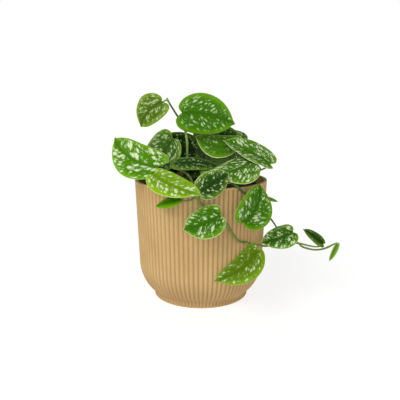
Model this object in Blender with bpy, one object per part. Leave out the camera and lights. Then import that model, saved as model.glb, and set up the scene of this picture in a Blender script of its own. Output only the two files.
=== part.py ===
"""A satin pothos with silvery blotched, heart-shaped leaves, in a round ribbed pot.

Metres, +Z up. The origin is the centre of the pot's underside and the front faces -Y.
Positions in the lists below are millimetres (x, y, z).
"""

import math

import bmesh
import bpy
from mathutils import Vector, noise

MM = 0.001
GAP = 0.3 * MM

# Pot
RIM_RADIUS = 70 * MM
POT_HEIGHT = 126 * MM
RIB_COUNT = 88
RIB_DEPTH = 0.9 * MM
SHOULDER = 0.3
LIP_BAND = 1.6 * MM
LIP_ROUND = 0.5 * MM
LIP_THICKNESS = 3.6 * MM
BOWL_RADIUS = 66.6 * MM
BOWL_TOP = 36 * MM
BOWL_POWER = 1.66
BOWL_BOTTOM_RADIUS = 48.6 * MM
BOWL_BOTTOM = 5.7 * MM
WALL = 4.2 * MM
FLOOR_THICKNESS = 9 * MM
FLOOR_NARROWING = 0.35
FLOOR_POWER = 2.2
# The foot, as heights and radii: a cove that flares out to a rounded edge
FOOT_RINGS = ((0, 50.4 * MM), (0.6 * MM, 51 * MM), (2 * MM, 50.6 * MM), (3.8 * MM, 50.2 * MM),
              (5.7 * MM, 50.6 * MM))
# Heights up the bowl, and the share of the ribs' full depth there
BOWL_RINGS = ((9 * MM, 0.5), (14 * MM, 1), (23 * MM, 1), (38 * MM, 1))

# Soil
SOIL_TOP = 117 * MM
SOIL_LUMP = 1.6 * MM
LUMP_SIZE = 9 * MM
CRUMB_SIZE = 4 * MM
SOIL_SIDES = 30
SOIL_RINGS = (0.93, 0.75, 0.52, 0.26)
INNER_LEVELS = (SOIL_TOP, BOWL_TOP, 20 * MM, FLOOR_THICKNESS)
STEM_FOOT = 95 * MM
HOLE_LENGTH = 30 * MM
HOLE_CLEARANCE = 0.5 * MM
HOLE_SIDES = 8

# Stems and stalks. A stalk's curve has a handle at each end, given as a share of its reach.
STEM_SIDES = 6
STALK_SIDES = 5
STALK_STEPS = 5
STALK_FOOT_RADIUS = 1.2 * MM
STALK_TIP_RADIUS = 0.75 * MM
STALK_APPROACH = math.radians(60)
STALK_SEAT = 0.02
FIRST_HANDLE = 0.3
LAST_HANDLE = 0.35
LONGEST_HANDLE = 14 * MM

# Blades, whose columns of points lie at these shares of the half width
BLADE_THICKNESS = 0.8 * MM
COLUMNS = (-1, -0.5, 0, 0.5, 1)

# One half of a leaf's margin, from the notch to the tip: (along, aside) as shares of its length
# and of its width. The midrib meets each row of the blade at the share in MIDRIB_ROWS.
MARGIN_ROWS = ((-0.035, 0.045), (-0.085, 0.17), (-0.03, 0.34), (0.12, 0.46), (0.33, 0.5),
               (0.53, 0.465), (0.72, 0.365), (0.86, 0.215), (0.945, 0.065))
MIDRIB_ROWS = (0.0, 0.03, 0.09, 0.2, 0.37, 0.55, 0.725, 0.86, 0.945)

# Each stem: its path from just above the soil outwards, and its radius at the foot and at the end.
STEMS = {
    "stem_front_trail": (((-8, -42, 121), (-6, -52, 129), (-4.5, -62, 131.5), (-4, -70, 130),
                          (-3.5, -73.5, 122), (0, -72, 112), (11, -72, 103.5), (23, -72, 94),
                          (28.5, -71, 85.5), (35.5, -67, 76), (45, -56, 70.5), (59, -46, 65),
                          (68, -41, 63), (86, -28, 61.5), (100, -26, 62), (106, -26, 57.5),
                          (117.5, -26, 54.5), (127, -25, 54.8), (133, -23.5, 56.5)), 1.4, 0.9),
    "stem_right_trail": (((18, -36, 121), (23, -46, 126), (28.5, -56, 128.5), (34, -63, 127.3),
                          (38.5, -62, 123), (44, -58, 118), (55.5, -53, 106), (70, -39, 90.5),
                          (77, -29, 80.5), (82, -22, 74)), 1.3, 0.8),
    "stem_top": (((-15, 0, 121), (-14, 2, 135), (-14.5, 0, 150), (-15, 0, 170), (-20, 4, 184),
                  (-27, 4, 195), (-33, 2, 205), (-35.5, 1, 210)), 1.5, 0.8),
    "stem_left": (((-38, -30, 121), (-40, -33, 128), (-41, -37, 134)), 1.4, 1.1),
    "stem_centre": (((-8, -20, 121), (-10, -22, 128), (-14, -25, 134)), 1.4, 1.1),
    "stem_right": (((46, -14, 121), (50, -15, 128), (55, -15, 134)), 1.4, 1.1),
    "stem_back_right": (((28, 16, 121), (30, 17, 132), (34, 19, 143)), 1.4, 1.1),
    "stem_back_left": (((-32, 4, 121), (-31, 2, 130), (-30, -2, 139)), 1.4, 1.1),
    "stem_back_middle": (((2, 36, 121), (2, 37, 135), (4, 36, 148)), 1.5, 1.1),
    "stem_far_left": (((-34, 36, 121), (-35, 37, 130), (-37, 38, 140)), 1.4, 1.1),
    "stem_far_right": (((36, 40, 121), (37, 41, 130), (40, 42, 140)), 1.4, 1.1),
}

# Each leaf: its stem, the share of that path where its stalk leaves, the base and the tip of
# its midrib, its width, the compass and height angles that its face looks to (0, 0 is the front),
# the angles of its droop along the midrib, of its fold at the midrib and of its curl out to the
# margin, and the sideways bow of its midrib.
LEAVES = {
    "leaf_top_big": (
        "stem_top", 0.45, (-19.5, -4.5, 195), (35, -12, 183.5), 42, -4, 0, 18, 6, 22, 3.5),
    "leaf_top_small": (
        "stem_top", 0.97, (-40, -6, 206), (-63, 0, 180), 33.5, -12, 23, 15, 14, 16, -4),
    "leaf_left_big": (
        "stem_left", 0.97, (-42, -40, 143), (-86, -27, 171), 39, 1, 31, 18, 9, 14, 9),
    "leaf_left_low": (
        "stem_left", 0.5, (-44, -57, 137.5), (1, -86.5, 123), 32, 3, 58, 12, 9, 25, -5),
    "leaf_left_inner": (
        "stem_back_left", 0.97, (-29, -12, 168), (-60, -12, 136), 40, -16, 24, 19, 14, 17, 4),
    "leaf_back_left_big": (
        "stem_back_middle", 0.4, (-6.5, 12, 154), (-58, 18, 156.5), 40, 0, 25, 25, 10, 20, 0),
    "leaf_centre_pale": (
        "stem_back_right", 0.8, (37.5, 1.5, 161.5), (-6, 6.5, 170.5), 35, 4, 51, 17, 12, 19, 11),
    "leaf_right_big": (
        "stem_right", 0.97, (70, -23, 144), (22.5, -11.5, 167), 41, 18, 66, 18, 16, 14, 0.5),
    "leaf_back_dark": (
        "stem_back_right", 0.9, (41, 24, 162), (4.5, 20, 179), 30, 10, 45, 20, 10, 20, 0),
    "leaf_back_right_dark": (
        "stem_back_right", 0.97, (50.5, 42, 162.5), (18, 42, 166), 30, 0, 48, 25, 10, 20, 0),
    "leaf_centre_right": (
        "stem_right", 0.6, (49.5, -32.5, 147.5), (8, -55, 136), 43, 7, 66, 8, 3, 27, 5.5),
    "leaf_front_dark": (
        "stem_front_trail", 0.13, (-0.5, -75.5, 125), (26, -63.5, 140.5), 25, 17, 17, 12, 5, 23, 0),
    "leaf_middle_flat": (
        "stem_centre", 0.97, (-26, -37.5, 145.5), (21, -26, 139.5), 27, 0, 68, 36, 6, 20, 0),
    "leaf_under_left": (
        "stem_front_trail", 0.19, (-18.5, -78, 118), (-42.5, -68, 109.5), 18, 0, 60, 10, 10, 20, 0),
    "leaf_front_hang": (
        "stem_front_trail", 0.39, (17.5, -81, 103.5), (-16.5, -87, 91.5), 31, -12, 28, 18, 7, 21, 2),
    "leaf_right_hang": (
        "stem_right_trail", 0.6, (40, -77.5, 96), (55.5, -57.5, 129), 38, 28, 5, 23, 16, 16, -4.5),
    "leaf_lowest": (
        "stem_front_trail", 0.525, (53.5, -70.5, 67.5), (12, -85, 42), 32, 4, 62, 19, 1, 28, 7.5),
    "leaf_right_trail": (
        "stem_right_trail", 1.0, (94, -33, 75), (60, -45, 67), 27, 7, 51, 18, 10, 21, 2.5),
    "leaf_trail_narrow": (
        "stem_front_trail", 0.825, (126.5, -28, 61.5), (106, -24, 76), 18, 55, 30, 15, 10, 20, 0),
    "leaf_trail_tip": (
        "stem_front_trail", 1.0, (142, -26, 61), (134, -27, 42), 7, 0, 0, 5, 35, 5, 0),
    "leaf_right_small": (
        "stem_right_trail", 0.4, (60, -50, 115), (75.5, -47, 109.5), 5, 0, 50, 10, 10, 20, 0),
    "leaf_inner_left": (
        "stem_back_left", 0.2, (-25, -6, 133), (-38, -12, 146), 16, -10, 30, 15, 10, 20, 0),
    "leaf_inner_centre": (
        "stem_top", 0.06, (5.5, -2, 139), (-20.5, -15, 129), 18, 0, 45, 15, 10, 20, 0),
    "leaf_inner_bright": (
        "stem_front_trail", 0.04, (9, -46, 132.5), (-0.5, -44.5, 138.5), 9, 0, 30, 10, 15, 20, 0),
    "leaf_under_right": (
        "stem_right_trail", 0.08, (30, -49, 135.5), (26, -61, 129.5), 12, 0, 50, 10, 10, 20, 0),
    "leaf_back_middle": (
        "stem_back_middle", 0.95, (4, 48, 155), (4, 88, 130), 44, 180, 45, 25, 10, 20, 0),
    "leaf_back_upright": (
        "stem_back_middle", 0.97, (7, 27, 163), (8, 54, 192), 32, 180, 35, 15, 10, 20, 0),
    "leaf_back_low_left": (
        "stem_back_middle", 0.4, (-14, 62, 138), (-26, 92, 112), 34, 195, 30, 25, 10, 20, 0),
    "leaf_back_low_right": (
        "stem_back_middle", 0.3, (25, 62, 144), (36, 88, 117), 37, 158, 30, 25, 10, 20, 0),
    "leaf_back_upper_left": (
        "stem_far_left", 0.5, (-22, 36, 164), (-52, 48, 161), 32, -160, 55, 20, 10, 20, 0),
    "leaf_back_upper_right": (
        "stem_far_right", 0.6, (28, 58, 161), (56, 65, 155), 28, 160, 55, 20, 10, 20, 0),
    "leaf_far_left": (
        "stem_far_left", 0.97, (-36, 50, 154), (-60, 78, 134), 38, -145, 45, 25, 10, 20, 0),
    "leaf_far_left_low": (
        "stem_far_left", 0.4, (-50, 42, 136), (-70, 66, 114), 30, -135, 30, 25, 10, 20, 0),
    "leaf_left_outer": (
        "stem_far_left", 0.7, (-54, 20, 148), (-88, 32, 140), 36, -105, 55, 25, 10, 20, 0),
    "leaf_far_right": (
        "stem_far_right", 0.97, (38, 54, 152), (60, 80, 134), 36, 142, 45, 25, 10, 20, 0),
    "leaf_far_right_low": (
        "stem_far_right", 0.4, (50, 42, 143), (66, 70, 121), 30, 135, 30, 25, 10, 20, 0),
    "leaf_right_outer": (
        "stem_far_right", 0.7, (52, 24, 148), (80, 42, 144), 28, 110, 55, 20, 10, 20, 0),
}

# Colours (linear), roughness
FINISHES = {
    "pot": ((0.56, 0.38, 0.19), 0.75),
    "soil": ((0.02, 0.013, 0.01), 0.95),
    "leaf": ((0.09, 0.26, 0.03), 0.45),
    "stem": ((0.16, 0.30, 0.08), 0.5),
}


def mm(point):
    return Vector(point) * MM


def finish(name):
    colour, roughness = FINISHES[name]
    material = bpy.data.materials.get(name)
    if material is None:
        material = bpy.data.materials.new(name)
        material.use_nodes = True
        shader = material.node_tree.nodes["Principled BSDF"]
        shader.inputs["Base Color"].default_value = (*colour, 1)
        shader.inputs["Roughness"].default_value = roughness
        shader.inputs["Metallic"].default_value = 0
    return material


def add_object(name, mesh, material, sharp=30):
    mesh.shade_smooth()
    mesh.set_sharp_from_angle(angle=math.radians(sharp))
    mesh.materials.append(finish(material))
    made = bpy.data.objects.new(name, mesh)
    bpy.context.collection.objects.link(made)
    return made


def closed_mesh(name, build):
    bmesh.ops.triangulate(build, faces=build.faces)
    bmesh.ops.recalc_face_normals(build, faces=build.faces)
    mesh = bpy.data.meshes.new(name)
    build.to_mesh(mesh)
    build.free()
    return mesh


# The pot


def outer_radius(z):
    """The crest of the ribs: a straight taper, then a bowl that turns in towards the foot."""
    if z >= BOWL_TOP:
        return BOWL_RADIUS + (RIM_RADIUS - BOWL_RADIUS) * (z - BOWL_TOP) / (POT_HEIGHT - BOWL_TOP)
    share = (BOWL_TOP - z) / (BOWL_TOP - BOWL_BOTTOM)
    swell = max(0, 1 - share**BOWL_POWER) ** (1 / BOWL_POWER)
    return BOWL_BOTTOM_RADIUS + (BOWL_RADIUS - BOWL_BOTTOM_RADIUS) * swell


def inner_radius(z):
    """The cavity follows the outside, one wall thickness in, and rounds in to the floor."""
    low = BOWL_RADIUS - WALL
    if z >= BOWL_TOP:
        top = RIM_RADIUS - LIP_THICKNESS
        return low + (top - low) * (z - BOWL_TOP) / (POT_HEIGHT - BOWL_TOP)
    share = (BOWL_TOP - z) / (BOWL_TOP - FLOOR_THICKNESS)
    return low * (1 - FLOOR_NARROWING * share**FLOOR_POWER)


def rib_ring(z, depth):
    """Three points a rib: the groove and the two shoulders of the crest."""
    radius = outer_radius(z)
    pitch = 2 * math.pi / RIB_COUNT
    ring = []
    for rib in range(RIB_COUNT):
        centre = rib * pitch - math.pi / 2
        for turn, sink in ((-0.5, 1), (-SHOULDER, 0), (SHOULDER, 0)):
            angle = centre + turn * pitch
            r = radius - sink * depth
            ring.append(Vector((r * math.cos(angle), r * math.sin(angle), z)))
    return ring


def plain_ring(z, radius, count=RIB_COUNT):
    pitch = 2 * math.pi / count
    start = -math.pi / 2 - pitch / 2
    angles = [start + i * pitch for i in range(count)]
    return [Vector((radius * math.cos(angle), radius * math.sin(angle), z)) for angle in angles]


def foot_rings():
    return [plain_ring(z, radius) for z, radius in FOOT_RINGS]


def wall_rings():
    rings = [rib_ring(z, share * RIB_DEPTH) for z, share in BOWL_RINGS]
    rings.append(rib_ring(POT_HEIGHT - LIP_BAND - RIB_DEPTH, RIB_DEPTH))
    return rings


def lip_rings():
    return [
        plain_ring(POT_HEIGHT - LIP_BAND, RIM_RADIUS),
        plain_ring(POT_HEIGHT - LIP_ROUND, RIM_RADIUS),
        plain_ring(POT_HEIGHT, RIM_RADIUS - LIP_ROUND),
        plain_ring(POT_HEIGHT, inner_radius(POT_HEIGHT)),
    ]


def strip(first, second):
    """Faces between two closed rings, where the second has a whole number of points to each one."""
    low, high = len(first), len(second)
    step = high // low
    faces = []
    for i in range(low):
        across = [second[(i * step + k) % high] for k in range(step, -1, -1)]
        faces.append([first[i], first[(i + 1) % low], *across])
    return faces


def skin(build, rings):
    """Faces from ring to ring, and one across each end."""
    rings = [[build.verts.new(point) for point in ring] for ring in rings]
    for low, high in zip(rings, rings[1:]):
        if len(low) <= len(high):
            faces = strip(low, high)
        else:
            faces = [face[::-1] for face in strip(high, low)]
        for face in faces:
            build.faces.new(face)
    build.faces.new(rings[0][::-1])
    build.faces.new(rings[-1])


def make_pot():
    cavity = [plain_ring(z, inner_radius(z), RIB_COUNT // 2) for z in INNER_LEVELS]
    build = bmesh.new()
    skin(build, foot_rings() + wall_rings() + lip_rings() + cavity)
    return add_object("pot", closed_mesh("pot", build), "pot", 35)


# The soil


def soil_height(x, y):
    lump = noise.noise(Vector((x, y, 0)) / LUMP_SIZE)
    crumb = noise.noise(Vector((x, y, CRUMB_SIZE)) / CRUMB_SIZE)
    return SOIL_TOP + SOIL_LUMP * (lump + crumb / 2)


def stem_holes():
    holes = bpy.data.collections.new("stem_holes")
    for name, (_, radius, _) in STEMS.items():
        foot = stem_foot(name)
        ends = [foot - Vector((0, 0, GAP)), foot + Vector((0, 0, HOLE_LENGTH))]
        tube = tube_mesh(name + "_hole", ends, [radius * MM + HOLE_CLEARANCE] * 2, HOLE_SIDES)
        holes.objects.link(bpy.data.objects.new(name + "_hole", tube))
    return holes


def make_soil():
    rings = []
    for z in INNER_LEVELS[::-1]:
        lift = GAP if z == FLOOR_THICKNESS else 0
        rings.append(plain_ring(z + lift, inner_radius(z) - 2 * GAP, SOIL_SIDES))
    for share in SOIL_RINGS:
        ring = plain_ring(0, inner_radius(SOIL_TOP) * share, SOIL_SIDES)
        rings.append([Vector((p.x, p.y, soil_height(p.x, p.y))) for p in ring])
    build = bmesh.new()
    skin(build, rings)
    soil = add_object("soil", closed_mesh("soil", build), "soil")
    combine(soil, stem_holes(), "DIFFERENCE")
    return soil


def combine(target, collection, operation):
    """Applies one Boolean of a whole collection to the target and drops the collection's objects."""
    bpy.context.scene.collection.children.link(collection)
    modifier = target.modifiers.new(collection.name, "BOOLEAN")
    modifier.operation = operation
    modifier.operand_type = "COLLECTION"
    modifier.collection = collection
    modifier.solver = "EXACT"
    graph = bpy.context.evaluated_depsgraph_get()
    mesh = bpy.data.meshes.new_from_object(target.evaluated_get(graph))
    target.modifiers.clear()
    old = target.data
    target.data = mesh
    bpy.data.meshes.remove(old)
    for used in list(collection.objects):
        bpy.data.objects.remove(used)
    bpy.data.collections.remove(collection)


# Stems and stalks


def smooth_path(points, steps):
    """A curve through the points, with this many steps between each pair."""
    points = [points[0], *points, points[-1]]
    path = []
    for before, a, b, after in zip(points, points[1:], points[2:], points[3:]):
        for k in range(steps):
            t = k / steps
            path.append(0.5 * (2 * a + (b - before) * t + (2 * before - 5 * a + 4 * b - after) * t**2
                               + (3 * a - before - 3 * b + after) * t**3))
    path.append(points[-1])
    return path


def tube_mesh(name, path, radii, sides):
    """A closed tube along a path, its rings turned as little as possible from one to the next."""
    side = None
    rings = []
    for i, point in enumerate(path):
        along = (path[min(i + 1, len(path) - 1)] - path[max(i - 1, 0)]).normalized()
        if side is None:
            side = along.orthogonal()
        side = (side - along * side.dot(along)).normalized()
        other = along.cross(side)
        angles = [2 * math.pi * k / sides for k in range(sides)]
        rings.append([point + (side * math.cos(a) + other * math.sin(a)) * radii[i] for a in angles])
    build = bmesh.new()
    skin(build, rings)
    return closed_mesh(name, build)


def point_along(path, share):
    """The point and the direction at this share of a path's length."""
    lengths = [(b - a).length for a, b in zip(path, path[1:])]
    left = share * sum(lengths)
    for a, b, length in zip(path, path[1:], lengths):
        if left <= length:
            return a.lerp(b, left / length), (b - a).normalized()
        left -= length
    return path[-1].copy(), (path[-1] - path[-2]).normalized()


def bezier(a, b, c, d, steps):
    points = []
    for k in range(steps + 1):
        t = k / steps
        points.append(a * (1 - t) ** 3 + b * 3 * t * (1 - t) ** 2 + c * 3 * t**2 * (1 - t) + d * t**3)
    return points


def stalk_path(path, share, blade):
    """A stalk leaves its stem at the share and rises to the underside of its blade."""
    start, onward = point_along(path, share)
    ahead, normal = blade.directions(0)
    arrive = ahead * math.cos(STALK_APPROACH) + normal * math.sin(STALK_APPROACH)
    half = BLADE_THICKNESS / 2
    clear = (half + GAP + STALK_TIP_RADIUS * math.cos(STALK_APPROACH)) / math.sin(STALK_APPROACH)
    end = blade.place(STALK_SEAT, 0) - arrive * clear
    reach = (end - start).length
    leave = (onward + (end - start).normalized()).normalized()
    first = start + leave * reach * FIRST_HANDLE
    last = end - arrive * min(reach * LAST_HANDLE, LONGEST_HANDLE)
    return bezier(start, first, last, end, STALK_STEPS)


def stem_foot(name):
    """A stem stands straight up in the soil below the first point of its path."""
    x, y, _ = STEMS[name][0][0]
    return Vector((x * MM, y * MM, STEM_FOOT))


def stalk_radii():
    """A stalk narrows to its tip radius two thirds of the way along."""
    narrowing = STALK_TIP_RADIUS - STALK_FOOT_RADIUS
    return [STALK_FOOT_RADIUS + narrowing * min(1, 1.5 * k / STALK_STEPS) for k in range(STALK_STEPS + 1)]


def make_stem(name):
    points, foot_radius, end_radius = STEMS[name]
    path = [stem_foot(name), *smooth_path([mm(p) for p in points], 2)]
    count = len(path) - 1
    radii = [(foot_radius + (end_radius - foot_radius) * i / count) * MM for i in range(count + 1)]
    stem = add_object(name, tube_mesh(name, path, radii, STEM_SIDES), "stem", 40)
    stalks = bpy.data.collections.new(name + "_stalks")
    for leaf, row in LEAVES.items():
        if row[0] == name:
            stalk = stalk_path(path[1:], row[1], Blade(row))
            tube = tube_mesh(leaf + "_stalk", stalk, stalk_radii(), STALK_SIDES)
            stalks.objects.link(bpy.data.objects.new(leaf + "_stalk", tube))
    combine(stem, stalks, "UNION")


# Leaves


class Blade:
    """A blade's curved middle surface, reached by shares along and aside of its flat outline."""

    def __init__(self, row):
        _, _, base, tip, width, compass, height, droop, fold, curl, bow = row
        self.base = mm(base)
        chord = mm(tip) - self.base
        self.length = chord.length
        self.half = width * MM / 2
        self.ahead = chord.normalized()
        compass, height = math.radians(compass), math.radians(height)
        face = Vector((math.sin(compass) * math.cos(height), -math.cos(compass) * math.cos(height),
                       math.sin(height)))
        self.up = (face - self.ahead * face.dot(self.ahead)).normalized()
        self.aside = self.up.cross(self.ahead)
        self.droop = math.radians(droop)
        self.fold = math.radians(fold)
        self.curl = math.radians(curl)
        self.bow = bow * MM

    def directions(self, along):
        """The midrib's direction and the upper face's, at a share of the length."""
        lean = self.droop * (0.5 - along)
        ahead = self.ahead * math.cos(lean) + self.up * math.sin(lean)
        return ahead, self.up * math.cos(lean) - self.ahead * math.sin(lean)

    def place(self, along, aside):
        """along is a share of the length, aside a share of the width."""
        radius = self.length / (2 * math.sin(self.droop / 2))
        lean = self.droop * (0.5 - along)
        run = radius * (math.sin(self.droop / 2) - math.sin(lean))
        rise = radius * (math.cos(lean) - math.cos(self.droop / 2))
        end = self.fold - self.curl * abs(aside) * 2
        out = self.half * (math.sin(self.fold) - math.sin(end)) / self.curl
        lift = self.half * (math.cos(end) - math.cos(self.fold)) / self.curl
        normal = self.directions(along)[1]
        bow = self.bow * (1 - (2 * along - 1) ** 2)
        side = self.aside * (math.copysign(out, aside) + bow)
        return self.base + self.ahead * run + self.up * rise + side + normal * lift

    def normal(self, along, aside):
        step = 0.01
        ahead = self.place(along + step, aside) - self.place(along - step, aside)
        across = self.place(along, aside + step) - self.place(along, aside - step)
        return ahead.cross(across).normalized()


def blade_side(build, blade, side):
    """One face of the blade, split into triangles: its rows of points and its tip."""
    rows = []
    for midrib, (along, aside) in zip(MIDRIB_ROWS, MARGIN_ROWS):
        row = []
        for share in COLUMNS:
            x = midrib + (along - midrib) * abs(share)
            y = aside * share
            offset = blade.normal(x, y) * side * BLADE_THICKNESS / 2
            row.append(build.verts.new(blade.place(x, y) + offset))
        rows.append(row)
    offset = blade.normal(1, 0) * side * BLADE_THICKNESS / 2
    tip = build.verts.new(blade.place(1, 0) + offset)
    for first, second in zip(rows, rows[1:]):
        for k in range(len(COLUMNS) - 1):
            corners = (first[k], first[k + 1], second[k + 1], second[k])
            if COLUMNS[k] >= 0:
                corners = corners[1:] + corners[:1]
            build.faces.new(corners[:3])
            build.faces.new((corners[0], corners[2], corners[3]))
    for k in range(len(COLUMNS) - 1):
        build.faces.new((rows[-1][k], rows[-1][k + 1], tip))
    return rows, tip


def margin(rows, tip):
    """The points round the blade's edge."""
    return rows[0] + [row[-1] for row in rows[1:]] + [tip] + [row[0] for row in rows[:0:-1]]


def make_leaf(name):
    blade = Blade(LEAVES[name])
    build = bmesh.new()
    top = margin(*blade_side(build, blade, 1))
    under = margin(*blade_side(build, blade, -1))
    for i in range(len(top)):
        j = (i + 1) % len(top)
        build.faces.new((top[i], top[j], under[j]))
        build.faces.new((top[i], under[j], under[i]))
    return add_object(name, closed_mesh(name, build), "leaf", 40)


def main():
    for old in list(bpy.data.objects):
        bpy.data.objects.remove(old)
    make_pot()
    make_soil()
    for name in STEMS:
        make_stem(name)
    for name in LEAVES:
        make_leaf(name)


main()
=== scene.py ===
"""The finished look of a potted satin pothos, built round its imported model.

Metres, +Z up, the front facing -Y. Positions in the lists are millimetres, as in the part's source.
"""

import math
from collections import namedtuple

import bmesh
import bpy
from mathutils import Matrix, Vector


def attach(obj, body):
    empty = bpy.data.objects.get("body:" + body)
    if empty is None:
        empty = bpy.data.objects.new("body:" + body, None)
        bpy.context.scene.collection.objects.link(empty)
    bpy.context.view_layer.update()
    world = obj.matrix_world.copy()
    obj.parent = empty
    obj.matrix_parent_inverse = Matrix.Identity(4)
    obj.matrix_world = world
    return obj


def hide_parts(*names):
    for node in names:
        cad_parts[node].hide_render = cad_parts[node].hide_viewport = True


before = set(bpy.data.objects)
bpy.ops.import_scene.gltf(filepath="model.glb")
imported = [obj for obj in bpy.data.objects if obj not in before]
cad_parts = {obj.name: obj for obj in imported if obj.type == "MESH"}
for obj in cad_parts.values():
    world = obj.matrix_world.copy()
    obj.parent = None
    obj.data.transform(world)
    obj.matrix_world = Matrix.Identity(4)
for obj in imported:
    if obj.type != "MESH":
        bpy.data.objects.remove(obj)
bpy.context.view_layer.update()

MM = 0.001
GAP = 0.3 * MM

# Pot
RIM_RADIUS = 70 * MM
POT_HEIGHT = 126 * MM
RIB_COUNT = 88
RIB_STEPS = 10
RIB_DEPTH = 1.15 * MM
RIB_RISE = 15 * MM
RIB_FALL = 1.2 * MM
FOOT_RIBS = 0.7
GROOVE_NARROWNESS = 2.4
# How far the grooves are darkened with painted shade
GROOVE_SHADE_TINT = 0.52
LIP_BAND = 1.6 * MM
LIP_THICKNESS = 3.6 * MM
BOWL_RADIUS = 66.6 * MM
BOWL_TOP = 36 * MM
BOWL_POWER = 1.66
BOWL_BOTTOM_RADIUS = 48.6 * MM
BOWL_BOTTOM = 5.7 * MM
WALL = 4.2 * MM
FLOOR_THICKNESS = 9 * MM
FLOOR_NARROWING = 0.35
FLOOR_POWER = 2.2
FOOT_RADIUS = 51 * MM
# The foot's cove above its rounded edge, as radii and heights
FOOT_COVE = ((50.9, 1.2), (50.65, 1.9), (50.4, 2.7), (50.25, 3.5), (50.25, 4.2), (50.4, 4.9),
             (50.75, 5.6), (51.3, 6.2), (52, 6.9))
# Painted shade: a darker band low on the bowl, where less light reaches. Its middle, and how far
# from there it is full and has ended
SHADE_BAND_HEIGHT = 12 * MM
SHADE_BAND_REACH = (3 * MM, 27 * MM)
SHADE_BAND_TINT = 0.5

# Soil
SOIL_TOP = 117 * MM
SOIL_LUMP = 1.6 * MM
CRUMB_SIZE = 1.1 * MM
# The least and greatest share of that size, along each axis, and the greatest turn about it
CRUMB_SHARES = ((0.35, 0.35, 0.25), (1.2, 1.2, 0.8))
CRUMB_TURN = 6.28
CRUMBS_PER_AREA = 120000.0

# Stems and stalks
STEM_FOOT = 95 * MM
STEM_SIDES = 12
STEM_STEP = 0.9 * MM
STEM_UNEVENNESS = 0.2 * MM
# Steps between two listed points of a stem's path, and of the coarser one that its stalks leave
PATH_STEPS = 8
COARSE_STEPS = 2
STALK_STEPS = 14
STALK_TAPER = 1.5
STALK_SINK = 0.15 * MM
KNUCKLE = 0.35 * MM
KNUCKLE_LENGTH = 1.8 * MM
STALK_FOOT_RADIUS = 1.2 * MM
STALK_TIP_RADIUS = 0.75 * MM
STALK_APPROACH = math.radians(60)
STALK_SEAT = 0.02
FIRST_HANDLE = 0.3
LAST_HANDLE = 0.35
LONGEST_HANDLE = 14 * MM
# Heights where the highest stem turns dark and where it turns pale again
DARKENS = (181 * MM, 189 * MM)
PALES = (203 * MM, 207 * MM)

# Blades
BLADE_THICKNESS = 0.8 * MM
MIDRIB_DEPTH = 0.1 * MM
VEIN_SPACING = 5.5 * MM
VEIN_RELIEF = 0.12 * MM
VEIN_SLOPE = 0.55
VEIN_BEND = 9
RIPPLE = 2.4 * MM
RIPPLES_PER_METRE = 60
MIDRIB_HALF = 1.5 * MM
THIN_EDGE = 0.45
# How far the edge stands out past both faces, in width and along, from this place on the midrib
EDGE_OUT = (1.012, 1.006)
OUTLINE_MIDDLE = 0.4
SEED_STEP = 7.3
# How much of each tint shows, and how bright the darker green is
RIM_TINT = 0.3
MIDRIB_TINT = 0.5
SHADE_TINT = 0.35
CORE_TINT = 0.5
DARKER = 0.42
# Silvery flakes and smaller specks to a metre, along and across the side veins
FLAKES = (320, 300)
SPECKS = (640, 520)
BLADE_ROWS = 49
BLADE_COLUMNS = (0, 0.035, 0.09, 0.17, 0.27, 0.38, 0.5, 0.62, 0.74, 0.85, 0.94, 1)

# One half of a leaf's margin, from the notch to the tip: (along, aside) as shares of its length
# and of its width. The midrib meets each row of the blade at the share in MIDRIB_ROWS.
MARGIN_ROWS = ((-0.035, 0.045), (-0.085, 0.17), (-0.03, 0.34), (0.12, 0.46), (0.33, 0.5),
               (0.53, 0.465), (0.72, 0.365), (0.86, 0.215), (0.945, 0.065))
MIDRIB_ROWS = (0.0, 0.03, 0.09, 0.2, 0.37, 0.55, 0.725, 0.86, 0.945)

# Each stem: its path from just above the soil outwards, its radius at the foot and at the end,
# and its green.
STEMS = {
    "stem_front_trail": (
        ((-8, -42, 121), (-6, -52, 129), (-4.5, -62, 131.5), (-4, -70, 130), (-3.5, -73.5, 122),
         (0, -72, 112), (11, -72, 103.5), (23, -72, 94), (28.5, -71, 85.5), (35.5, -67, 76),
         (45, -56, 70.5), (59, -46, 65), (68, -41, 63), (86, -28, 61.5), (100, -26, 62),
         (106, -26, 57.5), (117.5, -26, 54.5), (127, -25, 54.8), (133, -23.5, 56.5)),
        1.4, 0.9, "fresh"),
    "stem_right_trail": (
        ((18, -36, 121), (23, -46, 126), (28.5, -56, 128.5), (34, -63, 127.3), (38.5, -62, 123),
         (44, -58, 118), (55.5, -53, 106), (70, -39, 90.5), (77, -29, 80.5), (82, -22, 74)),
        1.3, 0.8, "dark"),
    "stem_top": (
        ((-15, 0, 121), (-14, 2, 135), (-14.5, 0, 150), (-15, 0, 170), (-20, 4, 184), (-27, 4, 195),
         (-33, 2, 205), (-35.5, 1, 210)),
        1.5, 0.8, "pale"),
    "stem_left": (((-38, -30, 121), (-40, -33, 128), (-41, -37, 134)), 1.4, 1.1, "mid"),
    # This stem's very pale green is painted light for a stem that sits in shade
    "stem_centre": (((-8, -20, 121), (-10, -22, 128), (-14, -25, 134)), 1.4, 1.1, "painted_light_pale"),
    "stem_right": (((46, -14, 121), (50, -15, 128), (55, -15, 134)), 1.4, 1.1, "mid"),
    "stem_back_right": (((28, 16, 121), (30, 17, 132), (34, 19, 143)), 1.4, 1.1, "mid"),
    "stem_back_left": (((-32, 4, 121), (-31, 2, 130), (-30, -2, 139)), 1.4, 1.1, "mid"),
    "stem_back_middle": (((2, 36, 121), (2, 37, 135), (4, 36, 148)), 1.5, 1.1, "mid"),
    "stem_far_left": (((-34, 36, 121), (-35, 37, 130), (-37, 38, 140)), 1.4, 1.1, "mid"),
    "stem_far_right": (((36, 40, 121), (37, 41, 130), (40, 42, 140)), 1.4, 1.1, "mid"),
}

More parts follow.
